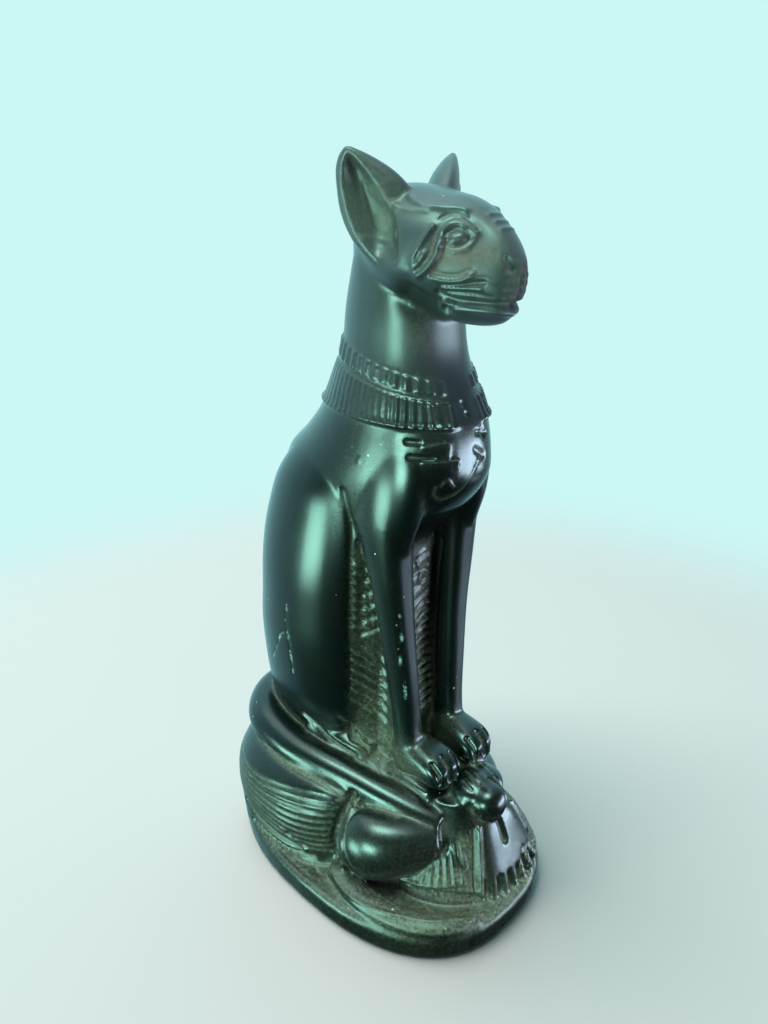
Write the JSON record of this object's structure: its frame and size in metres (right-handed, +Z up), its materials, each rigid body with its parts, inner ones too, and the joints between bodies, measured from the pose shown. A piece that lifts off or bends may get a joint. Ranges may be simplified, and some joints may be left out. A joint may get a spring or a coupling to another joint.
{
  "type": "cat figurine",
  "caption": "Seated cat in the ancient Egyptian manner with a broad collar, resting on a scarab beetle and a flat oval plinth, cast in one piece.",
  "frame": {"origin": "centre of the plinth's underside, on the surface it stands on", "axes": "+Z up, the cat looks along -Y, +X is the cat's left side"},
  "size_m": [0.0544, 0.0734, 0.1503],
  "materials": {
    "black_resin": "satin black with a dark green cast, dusty in the carving"
  },
  "bodies": {
    "root": {"cat_figurine": "black_resin"}
  },
  "joints": []
}
